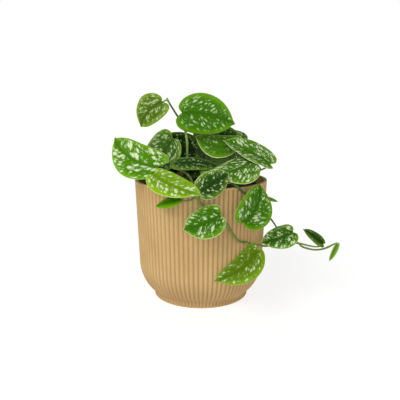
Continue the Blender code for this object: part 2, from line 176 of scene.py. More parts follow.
# Each leaf: its stem, the share of that path where its stalk leaves, the base and the tip of
# its midrib, its width, the compass and height angles that its face looks to (0, 0 is the front),
# the angles of its droop along the midrib, of its fold at the midrib and of its curl out to the
# margin, and the sideways bow of its midrib. Then its green, how pale its blotches are, how much
# they cover, how coarse they are, how pale its margin is and how wide the plain strip inside it.
Leaf = namedtuple("Leaf", "stem share base tip width compass height droop fold curl bow "
                          "green silver cover coarse pale plain")
LEAF_ROWS = {
    "leaf_top_big": (
        "stem_top", 0.45, (-19.5, -4.5, 195), (35, -12, 183.5), 42, -4, 0, 18, 6, 22, 3.5,
        "vivid", 0.55, 0.46, 1.1, 0.1, 4.0),
    "leaf_top_small": (
        "stem_top", 0.97, (-40, -6, 206), (-63, 0, 180), 33.5, -12, 23, 15, 14, 16, -4,
        "olive", 0.48, 0.5, 0.95, 0.15, 1.6),
    "leaf_left_big": (
        "stem_left", 0.97, (-42, -40, 143), (-86, -27, 171), 39, 1, 31, 18, 9, 14, 9,
        "bright", 0.95, 0.6, 1.3, 0.3, 1.4),
    "leaf_left_low": (
        "stem_left", 0.5, (-44, -57, 137.5), (1, -86.5, 123), 32, 3, 58, 12, 9, 25, -5,
        "lime", 1.0, 0.54, 1.1, 0.5, 1.6),
    "leaf_left_inner": (
        "stem_back_left", 0.97, (-29, -12, 168), (-60, -12, 136), 40, -16, 24, 19, 14, 17, 4,
        "mid", 0.42, 0.54, 0.85, 0.3, 1.2),
    "leaf_back_left_big": (
        "stem_back_middle", 0.4, (-6.5, 12, 154), (-58, 18, 156.5), 40, 0, 25, 25, 10, 20, 0,
        "deep", 0.35, 0.3, 0.8, 0.1, 2.0),
    "leaf_centre_pale": (
        "stem_back_right", 0.8, (37.5, 1.5, 161.5), (-6, 6.5, 170.5), 35, 4, 51, 17, 12, 19, 11,
        "leafy", 0.55, 0.34, 0.95, 1.0, 1.6),
    "leaf_right_big": (
        "stem_right", 0.97, (70, -23, 144), (22.5, -11.5, 167), 41, 18, 66, 18, 16, 14, 0.5,
        "leafy", 0.82, 0.54, 1.05, 0.8, 1.4),
    "leaf_back_dark": (
        "stem_back_right", 0.9, (41, 24, 162), (4.5, 20, 179), 30, 10, 45, 20, 10, 20, 0,
        "dark", 0.4, 0.3, 0.8, 0.2, 1.4),
    "leaf_back_right_dark": (
        "stem_back_right", 0.97, (50.5, 42, 162.5), (18, 42, 166), 30, 0, 48, 25, 10, 20, 0,
        "dark", 0.6, 0.5, 0.8, 0.3, 1.2),
    "leaf_centre_right": (
        "stem_right", 0.6, (49.5, -32.5, 147.5), (8, -55, 136), 43, 7, 66, 8, 3, 27, 5.5,
        "leafy", 0.9, 0.56, 1.15, 0.7, 1.4),
    "leaf_front_dark": (
        "stem_front_trail", 0.13, (-0.5, -75.5, 125), (26, -63.5, 140.5), 25, 17, 17, 12, 5, 23, 0,
        "dark", 0.54, 0.48, 0.85, 0.7, 1.2),
    "leaf_middle_flat": (
        "stem_centre", 0.97, (-26, -37.5, 145.5), (21, -26, 139.5), 27, 0, 68, 36, 6, 20, 0,
        "dark", 0.48, 0.42, 0.9, 0.12, 1.4),
    "leaf_under_left": (
        "stem_front_trail", 0.19, (-18.5, -78, 118), (-42.5, -68, 109.5), 18, 0, 60, 10, 10, 20, 0,
        "bright", 0.4, 0.2, 0.8, 0.1, 1.4),
    "leaf_front_hang": (
        "stem_front_trail", 0.39, (17.5, -81, 103.5), (-16.5, -87, 91.5), 31, -12, 28, 18, 7, 21, 2,
        "vivid", 0.72, 0.5, 1.05, 0.7, 1.2),
    "leaf_right_hang": (
        "stem_right_trail", 0.6, (40, -77.5, 96), (55.5, -57.5, 129), 38, 28, 5, 23, 16, 16, -4.5,
        "vivid", 0.6, 0.46, 1.1, 0.15, 3.2),
    "leaf_lowest": (
        "stem_front_trail", 0.525, (53.5, -70.5, 67.5), (12, -85, 42), 32, 4, 62, 19, 1, 28, 7.5,
        "moss", 0.7, 0.46, 1.05, 0.2, 2.2),
    "leaf_right_trail": (
        "stem_right_trail", 1.0, (94, -33, 75), (60, -45, 67), 27, 7, 51, 18, 10, 21, 2.5,
        "vivid", 1.0, 0.55, 0.95, 0.6, 1.2),
    "leaf_trail_narrow": (
        "stem_front_trail", 0.825, (126.5, -28, 61.5), (106, -24, 76), 18, 55, 30, 15, 10, 20, 0,
        "dark", 0.4, 0.2, 0.7, 0.1, 1.0),
    "leaf_trail_tip": (
        "stem_front_trail", 1.0, (142, -26, 61), (134, -27, 42), 7, 0, 0, 5, 35, 5, 0,
        "fresh", 0.5, 0.4, 0.6, 0.4, 0.8),
    "leaf_right_small": (
        "stem_right_trail", 0.4, (60, -50, 115), (75.5, -47, 109.5), 5, 0, 50, 10, 10, 20, 0,
        "fresh", 0.3, 0.0, 0.7, 0.1, 1.0),
    "leaf_inner_left": (
        "stem_back_left", 0.2, (-25, -6, 133), (-38, -12, 146), 16, -10, 30, 15, 10, 20, 0,
        "deep", 0.4, 0.3, 0.7, 0.1, 1.2),
    "leaf_inner_centre": (
        "stem_top", 0.06, (5.5, -2, 139), (-20.5, -15, 129), 18, 0, 45, 15, 10, 20, 0,
        "deep", 0.4, 0.35, 0.7, 0.1, 1.2),
    "leaf_inner_bright": (
        "stem_front_trail", 0.04, (9, -46, 132.5), (-0.5, -44.5, 138.5), 9, 0, 30, 10, 15, 20, 0,
        "bright", 0.6, 0.3, 0.7, 0.2, 1.0),
    "leaf_under_right": (
        "stem_right_trail", 0.08, (30, -49, 135.5), (26, -61, 129.5), 12, 0, 50, 10, 10, 20, 0,
        "lime", 0.6, 0.3, 0.7, 0.2, 1.0),
    "leaf_back_middle": (
        "stem_back_middle", 0.95, (4, 48, 155), (4, 88, 130), 44, 180, 45, 25, 10, 20, 0,
        "dark", 0.85, 0.52, 1.0, 0.4, 1.6),
    "leaf_back_upright": (
        "stem_back_middle", 0.97, (7, 27, 163), (8, 54, 192), 32, 180, 35, 15, 10, 20, 0,
        "mid", 0.7, 0.48, 0.9, 0.4, 1.4),
    "leaf_back_low_left": (
        "stem_back_middle", 0.4, (-14, 62, 138), (-26, 92, 112), 34, 195, 30, 25, 10, 20, 0,
        "vivid", 0.8, 0.52, 0.9, 0.3, 1.6),
    "leaf_back_low_right": (
        "stem_back_middle", 0.3, (25, 62, 144), (36, 88, 117), 37, 158, 30, 25, 10, 20, 0,
        "mid", 0.85, 0.48, 0.9, 0.3, 1.8),
    "leaf_back_upper_left": (
        "stem_far_left", 0.5, (-22, 36, 164), (-52, 48, 161), 32, -160, 55, 20, 10, 20, 0,
        "mid", 0.65, 0.44, 0.8, 0.4, 1.4),
    "leaf_back_upper_right": (
        "stem_far_right", 0.6, (28, 58, 161), (56, 65, 155), 28, 160, 55, 20, 10, 20, 0,
        "vivid", 0.75, 0.48, 0.8, 0.3, 1.6),
    "leaf_far_left": (
        "stem_far_left", 0.97, (-36, 50, 154), (-60, 78, 134), 38, -145, 45, 25, 10, 20, 0,
        "vivid", 0.85, 0.52, 1.0, 0.4, 1.6),
    "leaf_far_left_low": (
        "stem_far_left", 0.4, (-50, 42, 136), (-70, 66, 114), 30, -135, 30, 25, 10, 20, 0,
        "mid", 0.75, 0.44, 0.8, 0.3, 1.4),
    "leaf_left_outer": (
        "stem_far_left", 0.7, (-54, 20, 148), (-88, 32, 140), 36, -105, 55, 25, 10, 20, 0,
        "vivid", 0.8, 0.52, 0.9, 0.4, 1.4),
    "leaf_far_right": (
        "stem_far_right", 0.97, (38, 54, 152), (60, 80, 134), 36, 142, 45, 25, 10, 20, 0,
        "bright", 0.85, 0.54, 1.0, 0.3, 1.8),
    "leaf_far_right_low": (
        "stem_far_right", 0.4, (50, 42, 143), (66, 70, 121), 30, 135, 30, 25, 10, 20, 0,
        "mid", 0.75, 0.44, 0.8, 0.3, 1.4),
    "leaf_right_outer": (
        "stem_far_right", 0.7, (52, 24, 148), (80, 42, 144), 28, 110, 55, 20, 10, 20, 0,
        "vivid", 0.8, 0.48, 0.9, 0.4, 1.4),
}
LEAVES = {name: Leaf(*row) for name, row in LEAF_ROWS.items()}

# Screen colours: the greens of blades and stems, then those of each finish in turn
COLOURS = {
    "lime": (137, 187, 2),
    "bright": (88, 153, 0),
    "vivid": (66, 127, 0),
    "moss": (106, 145, 12),
    "leafy": (80, 137, 13),
    "mid": (62, 104, 14),
    "olive": (92, 124, 14),
    "dark": (42, 82, 16),
    "deep": (22, 50, 6),
    "fresh": (104, 150, 34),
    "pale": (124, 158, 70),
    # A green paler than a stem's own, as painted light on a stem that sits in shade
    "painted_light_pale": (190, 210, 130),

    "tan": (187, 157, 106),
    "pale tan": (195, 166, 114),
    "mottle": (180, 145, 97),
    "sand": (214, 180, 130),
    # Painted shade: the band low on the bowl, then the grooves
    "painted_shade_band": (158, 128, 88),
    "groove": (142, 88, 46),

    "black peat": (26, 19, 19),
    "brown peat": (54, 38, 33),
    "bark": (98, 60, 40),
    "dust": (86, 68, 60),

    "stalk": (138, 170, 92),
    "streak": (158, 186, 108),
    "patch": (70, 96, 34),
    "stem foot": (96, 92, 50),
    "dark stretch": (34, 58, 20),

    "rim": (132, 172, 6),
    "dull silver": (88, 130, 50),
    "silver": (222, 236, 190),
    "margin": (206, 224, 160),
    "underside": (104, 130, 72),

    "floor": (152, 152, 152),
    "pale floor": (162, 162, 162),
}

# The photo's own view: where its camera stands, its tilt from straight down, and its lens
CAMERA_PLACE = (-0.96, -505, 200)
CAMERA_TILT = 79.05
CAMERA_LENS = 42.93

# Light, as the brightness that each source gives to a white surface that faces it
ROOM_LIGHT = 0.36
FLOOR_GLOW = 0.77
FLOOR_HALF = 6
# Each lamp: strength, and in degrees its height, its compass place from the front and its breadth
LAMPS = {
    "key": (0.45, 40, -40, 34),
    "front": (0.31, 14, 2, 36),
}


def mm(point):
    return Vector(point) * MM


def linear(name):
    """A listed screen colour as the linear colour that shaders take."""
    shares = [value / 255 for value in COLOURS[name]]
    return tuple(s / 12.92 if s <= 0.04045 else ((s + 0.055) / 1.055) ** 2.4 for s in shares) + (1,)


def smoothly(before, a, b, after, t):
    """The value t of the way from a to b on a smooth curve through these four."""
    return 0.5 * (2 * a + (b - before) * t + (2 * before - 5 * a + 4 * b - after) * t**2
                  + (3 * a - before - 3 * b + after) * t**3)


# Node trees


def shown(sockets, key):
    """The socket in use that has this name, or this place among those in use."""
    in_use = [socket for socket in sockets if socket.enabled]
    if isinstance(key, int):
        return in_use[key]
    return next(socket for socket in in_use if socket.name == key)


def forward(operation):
    return lambda self, other: self.nodes.arithmetic(operation, self, other)


def reflected(operation):
    return lambda self, other: self.nodes.arithmetic(operation, other, self)


class Socket:
    """An output socket, whose arithmetic adds Math nodes, or Vector Math nodes for a vector."""

    def __init__(self, nodes, socket):
        self.nodes = nodes
        self.socket = socket

    __add__, __radd__ = forward("ADD"), reflected("ADD")
    __sub__, __rsub__ = forward("SUBTRACT"), reflected("SUBTRACT")
    __mul__, __rmul__ = forward("MULTIPLY"), reflected("MULTIPLY")
    __truediv__, __rtruediv__ = forward("DIVIDE"), reflected("DIVIDE")
    __pow__ = forward("POWER")

    def is_vector(self):
        return self.socket.type in ("VECTOR", "RGBA")

    def out(self, name):
        """Another output of the same node."""
        return Socket(self.nodes, shown(self.socket.node.outputs, name))


class Nodes:
    """A node tree and the one way in which nodes are added to it."""

    def __init__(self, tree):
        self.tree = tree

    def add(self, kind, settings=None, values=(), out=0):
        """Adds a node with settings, and its sockets' values or links by name or place."""
        node = self.tree.nodes.new(kind)
        for key, value in (settings or {}).items():
            setattr(node, key, value)
        for key, value in values.items() if isinstance(values, dict) else enumerate(values):
            socket = shown(node.inputs, key)
            if isinstance(value, Socket):
                self.tree.links.new(value.socket, socket)
            else:
                socket.default_value = value
        return Socket(self, shown(node.outputs, out)) if len(node.outputs) else None

    def arithmetic(self, operation, first, second):
        vectors = [isinstance(v, Vector) or isinstance(v, Socket) and v.is_vector()
                   for v in (first, second)]
        if not any(vectors):
            return self.math(operation, first, second)
        if all(vectors):
            return self.add("ShaderNodeVectorMath", {"operation": operation}, (first, second))
        vector, number = (first, second) if vectors[0] else (second, first)
        return self.add("ShaderNodeVectorMath", {"operation": "SCALE"},
                        {"Vector": vector, "Scale": number})

    def math(self, operation, *values):
        return self.add("ShaderNodeMath", {"operation": operation}, values)

    def cross(self, first, second):
        return self.add("ShaderNodeVectorMath", {"operation": "CROSS_PRODUCT"}, (first, second))

    def vector(self, x, y, z):
        return self.add("ShaderNodeCombineXYZ", None, (x, y, z))

    def split(self, vector):
        x = self.add("ShaderNodeSeparateXYZ", None, (vector,))
        return x, x.out("Y"), x.out("Z")

    def step(self, value, low, high):
        """0 below low, 1 above high and smooth between."""
        return self.add("ShaderNodeMapRange", {"interpolation_type": "SMOOTHSTEP"},
                        (value, low, high))

    def noise(self, vector, scale=1.0, detail=2.0, roughness=0.5):
        values = {"Vector": vector, "Scale": scale, "Detail": detail, "Roughness": roughness}
        return self.add("ShaderNodeTexNoise", None, values)

    def mix(self, factor, first, second):
        return self.add("ShaderNodeMix", {"data_type": "RGBA"}, (factor, first, second))


# Geometry Nodes


def geometry_nodes(name, **inputs):
    """A Geometry Nodes tree with inputs named under their kinds, and the sockets of these."""
    tree = bpy.data.node_groups.new(name, "GeometryNodeTree")
    tree.interface.new_socket("Geometry", in_out="OUTPUT", socket_type="NodeSocketGeometry")
    for kind, names in inputs.items():
        for key in names:
            tree.interface.new_socket(key, in_out="INPUT", socket_type="NodeSocket" + kind)
    nodes = Nodes(tree)
    entry = nodes.add("NodeGroupInput")
    return nodes, {key: entry.out(key) for names in inputs.values() for key in names}


def place_of(nodes):
    return nodes.add("GeometryNodeInputPosition")


def move(nodes, geometry, **values):
    return nodes.add("GeometryNodeSetPosition", None, {"Geometry": geometry, **values})


def store(nodes, geometry, name, value, kind="FLOAT", domain="POINT"):
    return nodes.add("GeometryNodeStoreNamedAttribute", {"data_type": kind, "domain": domain},
                     {"Geometry": geometry, "Name": name, "Value": value})


def stored(nodes, name, kind="FLOAT"):
    return nodes.add("GeometryNodeInputNamedAttribute", {"data_type": kind}, {"Name": name})


def deliver(nodes, geometry, finish):
    """Ends a tree: real geometry, smooth, with its material."""
    geometry = nodes.add("GeometryNodeRealizeInstances", None, (geometry,))
    geometry = nodes.add("GeometryNodeSetShadeSmooth", None,
                         {"Geometry": geometry, "Shade Smooth": True})
    geometry = nodes.add("GeometryNodeSetMaterial", None,
                         {"Geometry": geometry, "Material": finish})
    nodes.add("NodeGroupOutput", None, (geometry,))
    return nodes.tree


def give_points(mesh, name, values):
    """Keeps one number for each point of a mesh under a name."""
    mesh.attributes.new(name, "FLOAT", "POINT").data.foreach_set("value", values)


def grow(name, mesh, tree, sizes):
    """Runs a mesh through a tree and returns an object that holds the plain mesh made."""
    piece = bpy.data.objects.new(name, mesh)
    bpy.context.scene.collection.objects.link(piece)
    modifier = piece.modifiers.new(tree.name, "NODES")
    modifier.node_group = tree
    for item in tree.interface.items_tree:
        if item.name in sizes:
            modifier[item.identifier] = sizes[item.name]
    graph = bpy.context.evaluated_depsgraph_get()
    made = bpy.data.meshes.new_from_object(piece.evaluated_get(graph))
    piece.modifiers.clear()
    piece.data = made
    bpy.data.meshes.remove(mesh)
    made.name = name
    return piece


def stand_for(piece, node):
    """The piece moves with the plant and is shown in place of a node of the model."""
    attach(piece, "root")
    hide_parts(node)


# Finishes


def new_finish(name):
    made = bpy.data.materials.new(name)
    made.use_nodes = True
    made.node_tree.nodes.clear()
    return made, Nodes(made.node_tree)


def object_place(nodes):
    return nodes.add("ShaderNodeTexCoord", out="Object")


def attribute(nodes, name, out="Fac"):
    return nodes.add("ShaderNodeAttribute", {"attribute_name": name}, out=out)


def surface(nodes, colour, roughness, height, depth, **uniform):
    """Ends a material: its shader, with relief this deep from a height of 0 to 1."""
    bump = nodes.add("ShaderNodeBump", None, {"Strength": 1.0, "Distance": depth, "Height": height})
    values = {"Base Color": colour, "Roughness": roughness, "Normal": bump}
    values.update({key.replace("_", " "): value for key, value in uniform.items()})
    shader = nodes.add("ShaderNodeBsdfPrincipled", None, values)
    nodes.add("ShaderNodeOutputMaterial", None, (shader,))


def pot_finish():
    """Matte tan, mottled, with a sandy grain, and painted shade in the grooves and low on the bowl.
    """
    made, nodes = new_finish("pot")
    place = object_place(nodes)
    _, _, height = nodes.split(place)
    painted_shade_band = 1 - nodes.step(nodes.math("ABSOLUTE", height - SHADE_BAND_HEIGHT), *SHADE_BAND_REACH)
    cloud = nodes.noise(place, 38, 3)
    mottle = nodes.noise(place, 420, 3, 0.6)
    grain = nodes.noise(place, 2600, 2, 0.6)
    colour = nodes.mix(nodes.step(cloud, 0.3, 0.7), linear("tan"), linear("pale tan"))
    colour = nodes.mix(nodes.step(mottle, 0.45, 0.75) * 0.35, colour, linear("mottle"))
    colour = nodes.mix(nodes.step(grain, 0.5, 0.8) * 0.2, colour, linear("sand"))
    # Painted shade, darker low on the bowl
    colour = nodes.mix(painted_shade_band * SHADE_BAND_TINT, colour, linear("painted_shade_band"))
    # Painted shade in the grooves, darkest at their bottoms
    colour = nodes.mix(attribute(nodes, "Groove") * GROOVE_SHADE_TINT, colour, linear("groove"))
    surface(nodes, colour, 0.62 + mottle * 0.2, mottle * 0.3 + grain * 0.7, 0.07 * MM,
            Specular_IOR_Level=0.1)
    return made


def soil_finish():
    """Nearly black damp peat with redder and paler crumbs."""
    made, nodes = new_finish("soil")
    place = object_place(nodes)
    tint = attribute(nodes, "Tint")
    lumps = nodes.noise(place, 260, 4, 0.6)
    grain = nodes.noise(place, 1800, 3, 0.6)
    colour = nodes.mix(nodes.step(lumps, 0.35, 0.7), linear("black peat"), linear("brown peat"))
    colour = nodes.mix(nodes.step(tint, 0.72, 0.9), colour, linear("bark"))
    colour = nodes.mix(nodes.step(grain, 0.55, 0.8) * 0.35, colour, linear("dust"))
    surface(nodes, colour, 0.82 + grain * 0.15, lumps * 0.6 + grain * 0.4, 0.6 * MM)
    return made


def stem_finish():
    """Smooth streaked green, with paler stalks, a browner foot and a dark stretch high up."""
    made, nodes = new_finish("stem")
    place = object_place(nodes)
    green = attribute(nodes, "Green", "Color")
    pale = attribute(nodes, "Stalk")
    around, along = attribute(nodes, "Around"), attribute(nodes, "Along")
    streak = nodes.noise(nodes.vector(around * 9, along * 60, 0), 1, 3)
    patch = nodes.noise(place, 150, 2)
    _, _, height = nodes.split(place)
    colour = nodes.mix(pale * 0.6, green, linear("stalk"))
    colour = nodes.mix(nodes.step(streak, 0.35, 0.7) * 0.4, colour, linear("streak"))
    colour = nodes.mix(nodes.step(patch, 0.5, 0.75) * 0.35, colour, linear("patch"))
    foot = 1 - nodes.step(height, SOIL_TOP, SOIL_TOP + 5 * MM)
    colour = nodes.mix(foot * 0.5, colour, linear("stem foot"))
    dark = nodes.step(height, *DARKENS) * (1 - nodes.step(height, *PALES))
    colour = nodes.mix(dark * (1 - pale) * 0.75, colour, linear("dark stretch"))
    surface(nodes, colour, 0.46 + streak * 0.15, streak, 0.1 * MM, Specular_IOR_Level=0.1)
    return made


def leaf_finish():
    """Green with silvery blotches along the side veins, a bare midrib and a plain margin.

    It swells a little between the side veins. The underside is plain and duller, though kept close
    to the upper green as painted shade for the hollow inside the plant.
    """
    made, nodes = new_finish("leaf")
    x, y, room = nodes.split(attribute(nodes, "Flat", "Vector"))
    silver, cover, pale = nodes.split(attribute(nodes, "Look", "Vector"))
    seed, coarse, plain = (attribute(nodes, name) for name in ("Seed", "Coarseness", "Plain"))
    green = attribute(nodes, "Green", "Color")
    upper = nodes.step(attribute(nodes, "Upper"), 0.3, 0.5)
    out = nodes.math("ABSOLUTE", x)
    vein = y - out * (VEIN_SLOPE + out * VEIN_BEND)
    side = nodes.math("SIGN", x) * 5 + seed

    # Where the silver lies: in flakes and specks, off the midrib and inside the margin
    ragged = nodes.noise(nodes.vector(vein * 640, out * 600, side), 1, 3, 0.7) - 0.5
    drift = nodes.noise(nodes.vector(out * 560, vein * 560, side), 1, 3, 0.65) - 0.5
    spread = nodes.noise(nodes.vector(vein * 110, out * 90, side), 1, 2) - 0.5
    stray = ragged * (3 * MM)
    along, across = vein / coarse, out / coarse
    flakes = nodes.vector(along * FLAKES[0] + ragged * 0.9, across * FLAKES[1] + drift * 0.9, side)
    flakes = blotches(nodes, flakes, cover * 0.72 + spread * 0.2)
    specks = nodes.vector(along * SPECKS[0] + drift * 0.8, across * SPECKS[1] + ragged * 0.8, side)
    specks = blotches(nodes, specks, cover * 0.42 + spread * 0.3)
    inside = nodes.step(out + stray, 1 * MM, 3.1 * MM)
    inside = inside * nodes.step(room + stray, plain * 0.5, plain * 1.3)
    mask = nodes.math("MAXIMUM", flakes, specks * 0.6) * inside * nodes.step(cover, 0.02, 0.1)

    # The green under it: shaded, darker inside and along the midrib, yellower at the rim
    grain = nodes.noise(nodes.vector(x * 1400, y * 1400, seed), 1, 3, 0.6)
    shade = nodes.noise(nodes.vector(vein * 90, out * 90, side), 1, 3)
    darker = green * DARKER
    colour = nodes.mix(nodes.step(shade, 0.4, 0.75) * SHADE_TINT, green, darker)
    core = nodes.step(room + ragged * (4 * MM), plain * 0.5, plain + 5 * MM)
    colour = nodes.mix(core * CORE_TINT, colour, darker)
    rim = 1 - nodes.step(room + stray, 1 * MM, 6 * MM)
    colour = nodes.mix(rim * RIM_TINT, colour, linear("rim"))
    midrib = 1 - nodes.step(out + ragged * MM, 0.6 * MM, 4.4 * MM)
    colour = nodes.mix(midrib * MIDRIB_TINT, colour, darker)

    silvery = nodes.mix(silver, linear("dull silver"), linear("silver"))
    colour = nodes.mix(mask * (0.58 + grain * 0.6), colour, silvery)
    edge = 1 - nodes.step(room, 0.2 * MM, 0.8 * MM)
    colour = nodes.mix(edge * pale, colour, linear("margin"))
    # The underside: mostly the blade's own green, kept dark as painted shade, with a little of a
    # paler underside green
    duller = nodes.step(shade, 0.3, 0.7) * 0.2 + 0.15
    colour = nodes.mix(upper, nodes.mix(duller, green, linear("underside")), colour)

    swell = nodes.math("SINE", (vein / VEIN_SPACING + drift * 0.5) * (2 * math.pi)) * 0.5 + 0.5
    height = swell * 0.75 + grain * 0.15 + mask * 0.1
    surface(nodes, colour, 0.46 + mask * 0.1 + grain * 0.12, height, 0.2 * MM,
            Specular_IOR_Level=0.05)
    return made


def blotches(nodes, place, size):
    """Ragged flakes, one to a cell, of uneven sizes about this one; a size of 1 fills a cell."""
    cells = nodes.add("ShaderNodeTexVoronoi", None,
                      {"Vector": place, "Scale": 1.0, "Randomness": 1.0})
    own, _, _ = nodes.split(cells.out("Color"))
    limit = size + (own - 0.5) * 0.4
    return 1 - nodes.step(cells, limit - 0.2, limit + 0.1)


def floor_finish():
    """Plain and pale, with an even glow that makes it as white as the background."""
    made, nodes = new_finish("floor")
    grain = nodes.noise(object_place(nodes), 40, 2)
    colour = nodes.mix(grain, linear("floor"), linear("pale floor"))
    surface(nodes, colour, 0.9, grain, 0.02 * MM, Emission_Color=(1, 1, 1, 1),
            Emission_Strength=FLOOR_GLOW)
    return made


# The pot


def outer_radius(z):
    """The crest of the ribs: a straight taper, then a bowl that turns in towards the foot."""
    if z >= BOWL_TOP:
        return BOWL_RADIUS + (RIM_RADIUS - BOWL_RADIUS) * (z - BOWL_TOP) / (POT_HEIGHT - BOWL_TOP)
    share = (BOWL_TOP - z) / (BOWL_TOP - BOWL_BOTTOM)
    swell = max(0, 1 - share**BOWL_POWER) ** (1 / BOWL_POWER)
    return BOWL_BOTTOM_RADIUS + (BOWL_RADIUS - BOWL_BOTTOM_RADIUS) * swell


def inner_radius(z):
    """The cavity follows the outside, one wall thickness in, and rounds in to the floor."""
    low = BOWL_RADIUS - WALL
    if z >= BOWL_TOP:
        top = RIM_RADIUS - LIP_THICKNESS
        return low + (top - low) * (z - BOWL_TOP) / (POT_HEIGHT - BOWL_TOP)
    share = (BOWL_TOP - z) / (BOWL_TOP - FLOOR_THICKNESS)
    return low * (1 - FLOOR_NARROWING * share**FLOOR_POWER)


def rib_share(z):
    """How deep the ribs are at a height: full on the wall, weaker on the foot, none at the lip."""
    rise = min(1, z / RIB_RISE)
    fall = min(1, max(0, (POT_HEIGHT - LIP_BAND - z) / RIB_FALL))
    return (FOOT_RIBS + (1 - FOOT_RIBS) * rise) * fall


def corner(x, z, radius, start, end, steps=4):
    """Points of an arc about (x, z), from one angle to another."""
    angles = [math.radians(start + (end - start) * k / steps) for k in range(steps + 1)]
    return [(x + radius * math.cos(a), z + radius * math.sin(a)) for a in angles]


def pot_outside():
    """The section of the pot from the edge of its underside up to the top of its lip."""
    edge = 0.6 * MM
    points = corner(FOOT_RADIUS - edge, edge, edge, -90, 0)
    points += [(r * MM, z * MM) for r, z in FOOT_COVE]
    heights = (7.5, 8.1, 8.8, 9.6, 10.6, 12, 13.6, 15.4, 17.4, 19.6, 22, 24.6, 27.4, 30.4, 33.6, 37,
               42, 50, 60, 72, 84, 96, 108, 116, 121, 122.6, 123.2, 123.8, 124.4, 124.8)
    points += [(outer_radius(z * MM), z * MM) for z in heights]
    lip = 0.7 * MM
    return points + corner(RIM_RADIUS - lip, POT_HEIGHT - lip, lip, 0, 90)


def pot_inside():
    """The section from the top of the lip down the cavity to the edge of its floor."""
    edge = 0.9 * MM
    points = corner(inner_radius(POT_HEIGHT) + edge, POT_HEIGHT - edge, edge, 90, 180)
    heights = (120, 110, 90, 60, 36, 28, 20, 14, 10.5, 9)
    return points + [(inner_radius(z * MM), z * MM) for z in heights]


def pot_tree():
    """Turns a section round the axis and sinks a groove between each two ribs."""
    nodes, given = geometry_nodes(
        "Ribbed pot", Geometry=["Section"], Int=["Ribs", "Steps per rib"],
        Float=["Rib depth", "Groove narrowness"], Material=["Finish"])
    section = given["Section"]
    count = nodes.add("GeometryNodeAttributeDomainSize", None, (section,), "Point Count")
    sheet = nodes.add("GeometryNodeMeshGrid", None, {
        "Size X": 1.0, "Size Y": 1.0, "Vertices X": count,
        "Vertices Y": given["Ribs"] * given["Steps per rib"] + 1})
    across, up, _ = nodes.split(place_of(nodes))
    index = nodes.math("ROUND", (across + 0.5) * (count - 1))
    point = nodes.add("GeometryNodeSampleIndex", {"data_type": "FLOAT_VECTOR"},
                      {"Geometry": section, "Value": place_of(nodes), "Index": index})
    share = nodes.add("GeometryNodeSampleIndex", {"data_type": "FLOAT"},
                      {"Geometry": section, "Value": stored(nodes, "Ribs"), "Index": index})
    radius, _, height = nodes.split(point)
    turn = up + 0.5
    from_crest = nodes.math("ABSOLUTE", nodes.math("FRACT", turn * given["Ribs"] + 0.5) - 0.5) * 2
    groove = share * from_crest ** given["Groove narrowness"]
    radius = radius - groove * given["Rib depth"]
    angle = (turn - 0.25) * (2 * math.pi)
    sheet = store(nodes, sheet, "Groove", groove)
    sheet = move(nodes, sheet, Position=nodes.vector(
        radius * nodes.math("COSINE", angle), radius * nodes.math("SINE", angle), height))
    sheet = nodes.add("GeometryNodeMergeByDistance", None, {"Geometry": sheet, "Distance": 1e-6})
    return deliver(nodes, nodes.add("GeometryNodeFlipFaces", None, (sheet,)), given["Finish"])


def make_pot(finish):
    outside, inside = pot_outside(), pot_inside()
    points = [(0, 0), (FOOT_RADIUS * 0.6, 0), *outside, *inside, (0, FLOOR_THICKNESS)]
    shares = [0, 0, *(rib_share(z) for _, z in outside), *(0 for _ in inside), 0]
    mesh = bpy.data.meshes.new("section")
    edges = [(i, i + 1) for i in range(len(points) - 1)]
    mesh.from_pydata([(x, 0, z) for x, z in points], edges, [])
    give_points(mesh, "Ribs", shares)
    pot = grow("ribbed_pot", mesh, pot_tree(), {
        "Ribs": RIB_COUNT, "Steps per rib": RIB_STEPS, "Rib depth": RIB_DEPTH,
        "Groove narrowness": GROOVE_NARROWNESS, "Finish": finish})
    stand_for(pot, "pot")


# The soil


def soil_body():
    """A plug that fills the pot to its top, with a fine flat top to be lumped."""
    sides, steps = 128, 40
    heights = (FLOOR_THICKNESS + GAP, 20 * MM, BOWL_TOP, 70 * MM, 100 * MM, SOIL_TOP - 0.4 * MM,
               SOIL_TOP)
    sizes = [(inner_radius(z) - GAP, z) for z in heights]
    edge = sizes[-1][0]
    sizes += [(edge * (1 - k / steps), SOIL_TOP) for k in range(1, steps)]
    angles = [2 * math.pi * k / sides for k in range(sides)]
    build = bmesh.new()
    rings = [[build.verts.new((r * math.cos(a), r * math.sin(a), z)) for a in angles]
             for r, z in sizes]
    for low, high in zip(rings, rings[1:]):
        for k in range(sides):
            j = (k + 1) % sides
            build.faces.new((low[k], low[j], high[j], high[k]))
    build.faces.new(rings[0][::-1])
    middle = build.verts.new((0, 0, SOIL_TOP))
    for k in range(sides):
        build.faces.new((rings[-1][k], rings[-1][(k + 1) % sides], middle))
    mesh = bpy.data.meshes.new("plug")
    build.to_mesh(mesh)
    build.free()
    return mesh


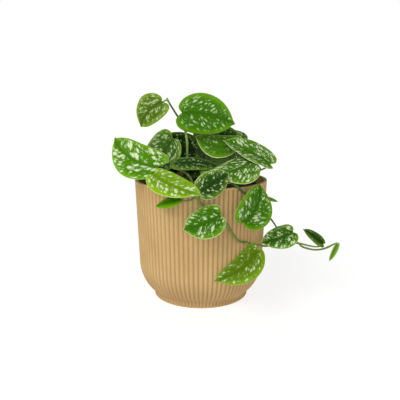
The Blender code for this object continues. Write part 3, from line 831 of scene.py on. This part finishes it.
def soil_tree():
    """Lumps the top of the soil and scatters crumbs over it."""
    nodes, given = geometry_nodes(
        "Crumbly soil", Geometry=["Body"], Float=["Top", "Lump", "Crumbs per area", "Crumb size"],
        Int=["Seed"], Material=["Finish"])
    x, y, z = nodes.split(place_of(nodes))
    high = nodes.math("GREATER_THAN", z, given["Top"] - 0.1 * MM)
    flat = nodes.vector(x, y, 0)
    lumps = nodes.noise(flat, 110, 1) - 0.5 + (nodes.noise(flat, 420, 3, 0.6) - 0.5) * 0.6
    body = store(nodes, given["Body"], "Tint", nodes.noise(flat, 300, 1) * 0.8)
    body = move(nodes, body, Offset=nodes.vector(0, 0, high * lumps * given["Lump"] * 2))
    top = nodes.math("GREATER_THAN", nodes.split(nodes.add("GeometryNodeInputNormal"))[2], 0.4)
    points = nodes.add("GeometryNodeDistributePointsOnFaces", None, {
        "Mesh": body, "Selection": top, "Density": given["Crumbs per area"], "Seed": given["Seed"]})
    size = given["Crumb size"]
    crumb = nodes.add("GeometryNodeMeshIcoSphere", None, {"Radius": size, "Subdivisions": 1})
    uneven = nodes.add("ShaderNodeTexNoise", None, {"Scale": 700.0}, "Color")
    crumb = move(nodes, crumb, Offset=(uneven - Vector((0.5, 0.5, 0.5))) * (size * 1.6))
    spin = nodes.add("FunctionNodeRandomValue", {"data_type": "FLOAT_VECTOR"},
                     {"Max": (CRUMB_TURN,) * 3, "Seed": 3})
    least, most = CRUMB_SHARES
    scale = nodes.add("FunctionNodeRandomValue", {"data_type": "FLOAT_VECTOR"},
                      {"Min": least, "Max": most, "Seed": 5})
    crumbs = nodes.add("GeometryNodeInstanceOnPoints", None, {
        "Points": points, "Instance": crumb, "Scale": scale,
        "Rotation": nodes.add("FunctionNodeEulerToRotation", None, (spin,))})
    tint = nodes.add("FunctionNodeRandomValue", {"data_type": "FLOAT"}, {"Seed": 8})
    crumbs = store(nodes, crumbs, "Tint", tint, domain="INSTANCE")
    both = nodes.add("GeometryNodeJoinGeometry", None, (body,))
    nodes.tree.links.new(crumbs.socket, both.socket.node.inputs[0])
    return deliver(nodes, both, given["Finish"])


def make_soil(finish):
    soil = grow("crumbly_soil", soil_body(), soil_tree(), {
        "Top": SOIL_TOP, "Lump": SOIL_LUMP, "Crumbs per area": CRUMBS_PER_AREA,
        "Crumb size": CRUMB_SIZE, "Seed": 4, "Finish": finish})
    stand_for(soil, "soil")


# Stems and stalks


def smooth_path(points, steps):
    """A curve through the points, with this many steps between each pair."""
    points = [points[0], *points, points[-1]]
    path = []
    for before, a, b, after in zip(points, points[1:], points[2:], points[3:]):
        path += [smoothly(before, a, b, after, k / steps) for k in range(steps)]
    path.append(points[-1])
    return path


def point_along(path, share):
    """The point and the direction at this share of a path's length."""
    lengths = [(b - a).length for a, b in zip(path, path[1:])]
    left = share * sum(lengths)
    for a, b, length in zip(path, path[1:], lengths):
        if left <= length:
            return a.lerp(b, left / length), (b - a).normalized()
        left -= length
    return path[-1].copy(), (path[-1] - path[-2]).normalized()


def bezier(a, b, c, d, steps):
    points = []
    for k in range(steps + 1):
        t = k / steps
        points.append(a * (1 - t) ** 3 + b * 3 * t * (1 - t) ** 2
                      + c * 3 * t**2 * (1 - t) + d * t**3)
    return points


def facing(leaf):
    """A blade's base, its length, and the directions ahead along its chord and up from its face."""
    base = mm(leaf.base)
    chord = mm(leaf.tip) - base
    compass, height = math.radians(leaf.compass), math.radians(leaf.height)
    face = Vector((math.sin(compass) * math.cos(height), -math.cos(compass) * math.cos(height),
                   math.sin(height)))
    ahead = chord.normalized()
    return base, chord.length, ahead, (face - ahead * face.dot(ahead)).normalized()


def stalk_path(path, leaf):
    """A stalk leaves its stem at the share and rises into the underside of its blade."""
    start, onward = point_along(path, leaf.share)
    base, length, ahead, up = facing(leaf)
    lean = math.radians(leaf.droop) / 2
    slope = ahead * math.cos(lean) + up * math.sin(lean)
    normal = up * math.cos(lean) - ahead * math.sin(lean)
    arrive = slope * math.cos(STALK_APPROACH) + normal * math.sin(STALK_APPROACH)
    end = base + slope * length * STALK_SEAT - arrive * STALK_SINK
    reach = (end - start).length
    leave = (onward + (end - start).normalized()).normalized()
    first = start + leave * reach * FIRST_HANDLE
    last = end - arrive * min(reach * LAST_HANDLE, LONGEST_HANDLE)
    return bezier(start, first, last, end, STALK_STEPS)


def stem_lines(name):
    """A stem's line and those of its stalks, each as a list of points and one of radii."""
    points, foot_radius, end_radius, _ = STEMS[name]
    x, y, _ = points[0]
    points = [mm(p) for p in points]
    coarse = smooth_path(points, COARSE_STEPS)
    path = [Vector((x * MM, y * MM, STEM_FOOT)), *smooth_path(points, PATH_STEPS)]
    count = len(path) - 1
    radii = [(foot_radius + (end_radius - foot_radius) * i / count) * MM for i in range(count + 1)]
    stalks = [stalk_path(coarse, leaf) for leaf in LEAVES.values() if leaf.stem == name]
    for stalk in stalks:
        for i, point in enumerate(path):
            near = (point - stalk[0]).length / KNUCKLE_LENGTH
            radii[i] += KNUCKLE * math.exp(-near**2)
    narrowing = STALK_TIP_RADIUS - STALK_FOOT_RADIUS
    shares = [min(1, STALK_TAPER * k / STALK_STEPS) for k in range(STALK_STEPS + 1)]
    stalk_radii = [STALK_FOOT_RADIUS + narrowing * share for share in shares]
    return [(path, radii)] + [(stalk, stalk_radii) for stalk in stalks]


def stem_tree():
    """A round, slightly uneven tube along each line."""
    nodes, given = geometry_nodes(
        "Stem and stalks", Geometry=["Lines"], Int=["Sides"], Float=["Step", "Unevenness"],
        Color=["Green"], Material=["Finish"])
    lines = nodes.add("GeometryNodeMeshToCurve", None, (given["Lines"],))
    lines = nodes.add("GeometryNodeResampleCurve", {"mode": "LENGTH"},
                      {"Curve": lines, "Length": given["Step"]})
    lines = store(nodes, lines, "Along", nodes.add("GeometryNodeSplineParameter", out="Length"))
    section = nodes.add("GeometryNodeCurvePrimitiveCircle", None,
                        {"Resolution": given["Sides"], "Radius": 1.0})
    section = store(nodes, section, "Around", nodes.add("GeometryNodeSplineParameter"))
    tubes = nodes.add("GeometryNodeCurveToMesh", None, {
        "Curve": lines, "Profile Curve": section, "Scale": stored(nodes, "Radius"),
        "Fill Caps": True})
    uneven = (nodes.noise(place_of(nodes), 300, 1) - 0.5) * given["Unevenness"]
    tubes = move(nodes, tubes, Offset=nodes.add("GeometryNodeInputNormal") * uneven)
    tubes = store(nodes, tubes, "Green", given["Green"], "FLOAT_COLOR")
    return deliver(nodes, tubes, given["Finish"])


def make_stem(name, tree, finish):
    points, edges, radii, stalk = [], [], [], []
    for k, (path, sizes) in enumerate(stem_lines(name)):
        edges += [(len(points) + i, len(points) + i + 1) for i in range(len(path) - 1)]
        points += path
        radii += sizes
        stalk += [float(k > 0)] * len(path)
    mesh = bpy.data.meshes.new("lines")
    mesh.from_pydata(points, edges, [])
    give_points(mesh, "Radius", radii)
    give_points(mesh, "Stalk", stalk)
    stem = grow("grown_" + name, mesh, tree, {
        "Sides": STEM_SIDES, "Step": STEM_STEP, "Unevenness": STEM_UNEVENNESS,
        "Green": linear(STEMS[name][3]), "Finish": finish})
    stand_for(stem, name)


# Leaves


def through(values, t):
    """The value at t places along a list, on a smooth curve through it."""
    i = min(int(t), len(values) - 2)
    before, after = values[max(i - 1, 0)], values[min(i + 2, len(values) - 1)]
    return smoothly(before, values[i], values[i + 1], after, t - i)


def blade_side(build, z):
    """One face of a flat blade: its rows of points, its tip and each point's room to the margin."""
    across = [-c for c in BLADE_COLUMNS[:0:-1]] + list(BLADE_COLUMNS)
    rows, room = [], []
    for k in range(BLADE_ROWS):
        t = k / (BLADE_ROWS - 1) * (len(MARGIN_ROWS) - 1)
        midrib = through(MIDRIB_ROWS, t)
        along, aside = (through(values, t) for values in zip(*MARGIN_ROWS))
        rows.append([build.verts.new((aside * s, midrib + (along - midrib) * abs(s), z))
                     for s in across])
        room += [aside * (1 - abs(s)) * min(1, k / 2) for s in across]
    tip = build.verts.new((0, 1, z))
    for first, second in zip(rows, rows[1:]):
        for k in range(len(across) - 1):
            build.faces.new((first[k], first[k + 1], second[k + 1], second[k]))
    for k in range(len(across) - 1):
        build.faces.new((rows[-1][k], rows[-1][k + 1], tip))
    return rows, tip, [*room, 0.0]


def margin(rows, tip):
    """The points round the blade's edge."""
    return rows[0] + [row[-1] for row in rows[1:]] + [tip] + [row[0] for row in rows[:0:-1]]


def blade_outline():
    """A closed flat blade, 1 wide, 1 long and 1 to either side of its middle surface."""
    build = bmesh.new()
    rows, tip, room = blade_side(build, 1)
    top = margin(rows, tip)
    rows, tip, room_below = blade_side(build, -1)
    under = margin(rows, tip)
    wider, longer = EDGE_OUT
    edge = []
    for point in top:
        along = OUTLINE_MIDDLE + (point.co.y - OUTLINE_MIDDLE) * longer
        edge.append(build.verts.new((point.co.x * wider, along, 0)))
    for i in range(len(top)):
        j = (i + 1) % len(top)
        build.faces.new((top[i], top[j], edge[j], edge[i]))
        build.faces.new((edge[i], edge[j], under[j], under[i]))
    bmesh.ops.recalc_face_normals(build, faces=build.faces)
    # The faces look inward here, as leaf_tree swaps left and right and so turns them outward
    bmesh.ops.reverse_faces(build, faces=build.faces)
    mesh = bpy.data.meshes.new("outline")
    build.to_mesh(mesh)
    build.free()
    room += room_below + [0.0] * len(edge)
    give_points(mesh, "Room", room)
    return mesh


def leaf_tree():
    """Bends a flat blade into its place, with veins, a wavy margin and a thickness."""
    nodes, given = geometry_nodes(
        "Leaf blade", Geometry=["Outline"], Vector=["Base", "Ahead", "Up", "Look"],
        Float=["Length", "Width", "Thickness", "Droop", "Fold", "Curl", "Bow", "Midrib depth",
               "Vein spacing", "Vein relief", "Ripple", "Seed", "Coarseness", "Plain"],
        Color=["Green"], Material=["Finish"])
    length, width, up, droop = given["Length"], given["Width"], given["Up"], given["Droop"]
    aside, along, layer = nodes.split(place_of(nodes))
    room = stored(nodes, "Room") * width
    flat = nodes.vector(aside * width, along * length, room)
    sheet = store(nodes, given["Outline"], "Flat", flat, "FLOAT_VECTOR")
    sheet = store(nodes, sheet, "Upper", layer * 0.5 + 0.5)
    for key in ("Seed", "Coarseness", "Plain"):
        sheet = store(nodes, sheet, key, given[key])
    sheet = store(nodes, sheet, "Green", given["Green"], "FLOAT_COLOR")
    sheet = store(nodes, sheet, "Look", given["Look"], "FLOAT_VECTOR")

    x, y, room = nodes.split(stored(nodes, "Flat", "FLOAT_VECTOR"))
    out = nodes.math("ABSOLUTE", x)
    midrib = (nodes.step(out, 0, MIDRIB_HALF) - 1) * given["Midrib depth"]
    vein = y - out * (VEIN_SLOPE + out * VEIN_BEND)
    wave = nodes.math("COSINE", vein / given["Vein spacing"] * (2 * math.pi))
    fade = nodes.step(out, 1 * MM, 4 * MM) * nodes.step(room, 0, 5 * MM)
    spot = nodes.vector(x * RIPPLES_PER_METRE, y * RIPPLES_PER_METRE, given["Seed"])
    ripple = nodes.noise(spot, 1, 1) - 0.5
    sway = (1 - nodes.step(room, 0, 9 * MM)) * nodes.step(out, 0, 6 * MM)
    relief = midrib + wave * fade * given["Vein relief"] + ripple * sway * given["Ripple"]
    thickness = given["Thickness"] * (THIN_EDGE + nodes.step(room, 0, 2.5 * MM) * (1 - THIN_EDGE))

    half = width / 2
    curve = length / (nodes.math("SINE", droop / 2) * 2)
    lean = droop * (0.5 - along)
    run = curve * (nodes.math("SINE", droop / 2) - nodes.math("SINE", lean))
    rise = curve * (nodes.math("COSINE", lean) - nodes.math("COSINE", droop / 2))
    side = nodes.math("SIGN", aside)
    end = given["Fold"] - given["Curl"] * nodes.math("ABSOLUTE", aside) * 2
    reach = half * (nodes.math("SINE", given["Fold"]) - nodes.math("SINE", end)) / given["Curl"]
    lift = half * (nodes.math("COSINE", end) - nodes.math("COSINE", given["Fold"])) / given["Curl"]
    bow = given["Bow"] * (1 - (along * 2 - 1) * (along * 2 - 1))
    across = nodes.cross(up, given["Ahead"])
    normal = up * nodes.math("COSINE", lean) - given["Ahead"] * nodes.math("SINE", lean)
    outward = normal * nodes.math("COSINE", end) - across * (side * nodes.math("SINE", end))
    place = (given["Base"] + given["Ahead"] * run + up * rise + across * (side * reach + bow)
             + normal * lift + outward * (relief + layer * thickness / 2))
    return deliver(nodes, move(nodes, sheet, Position=place), given["Finish"])


def make_leaf(name, number, tree, finish):
    leaf = LEAVES[name]
    base, length, ahead, up = facing(leaf)
    blade = grow("grown_" + name, blade_outline(), tree, {
        "Base": base, "Ahead": ahead, "Up": up, "Length": length, "Width": leaf.width * MM,
        "Thickness": BLADE_THICKNESS, "Droop": math.radians(leaf.droop),
        "Fold": math.radians(leaf.fold), "Curl": math.radians(leaf.curl), "Bow": leaf.bow * MM,
        "Midrib depth": MIDRIB_DEPTH, "Vein spacing": VEIN_SPACING, "Vein relief": VEIN_RELIEF,
        "Ripple": RIPPLE, "Seed": number * SEED_STEP, "Coarseness": leaf.coarse,
        "Plain": leaf.plain * MM, "Green": linear(leaf.green),
        "Look": (leaf.silver, leaf.cover, leaf.pale), "Finish": finish})
    stand_for(blade, name)


# Camera, light and floor


def make_camera():
    """The photo's own view, from a little above the rim."""
    data = bpy.data.cameras.new("camera")
    data.lens = CAMERA_LENS
    camera = bpy.data.objects.new("camera", data)
    camera.location = mm(CAMERA_PLACE)
    camera.rotation_euler = (math.radians(CAMERA_TILT), 0, 0)
    bpy.context.scene.collection.objects.link(camera)
    bpy.context.scene.camera = camera


def make_studio():
    """An even white room, a broad lamp at the upper left, a low one in front, a pale floor."""
    scene = bpy.context.scene
    scene.view_settings.view_transform = "Standard"
    scene.world = bpy.data.worlds.new("studio")
    scene.world.use_nodes = True
    scene.world.node_tree.nodes.clear()
    nodes = Nodes(scene.world.node_tree)
    seen = nodes.add("ShaderNodeLightPath", out="Is Camera Ray")
    strength = seen * (1 - ROOM_LIGHT) + ROOM_LIGHT
    sky = nodes.add("ShaderNodeBackground", None, {"Color": (1, 1, 1, 1), "Strength": strength})
    nodes.add("ShaderNodeOutputWorld", None, (sky,))

    for name, (strength, height, compass, breadth) in LAMPS.items():
        data = bpy.data.lights.new(name, "SUN")
        data.energy = strength * math.pi
        data.angle = math.radians(breadth)
        lamp = bpy.data.objects.new(name, data)
        lamp.rotation_euler = (math.radians(90 - height), 0, math.radians(compass))
        scene.collection.objects.link(lamp)

    mesh = bpy.data.meshes.new("floor")
    corners = [(x * FLOOR_HALF, y * FLOOR_HALF, 0) for x, y in ((-1, -1), (1, -1), (1, 1), (-1, 1))]
    mesh.from_pydata(corners, [], [(0, 1, 2, 3)])
    floor = bpy.data.objects.new("floor", mesh)
    floor.data.materials.append(floor_finish())
    scene.collection.objects.link(floor)


make_camera()
make_pot(pot_finish())
make_soil(soil_finish())
stems, green_skin = stem_tree(), stem_finish()
for name in STEMS:
    make_stem(name, stems, green_skin)
blades, satin = leaf_tree(), leaf_finish()
for number, name in enumerate(LEAVES):
    make_leaf(name, number, blades, satin)
make_studio()
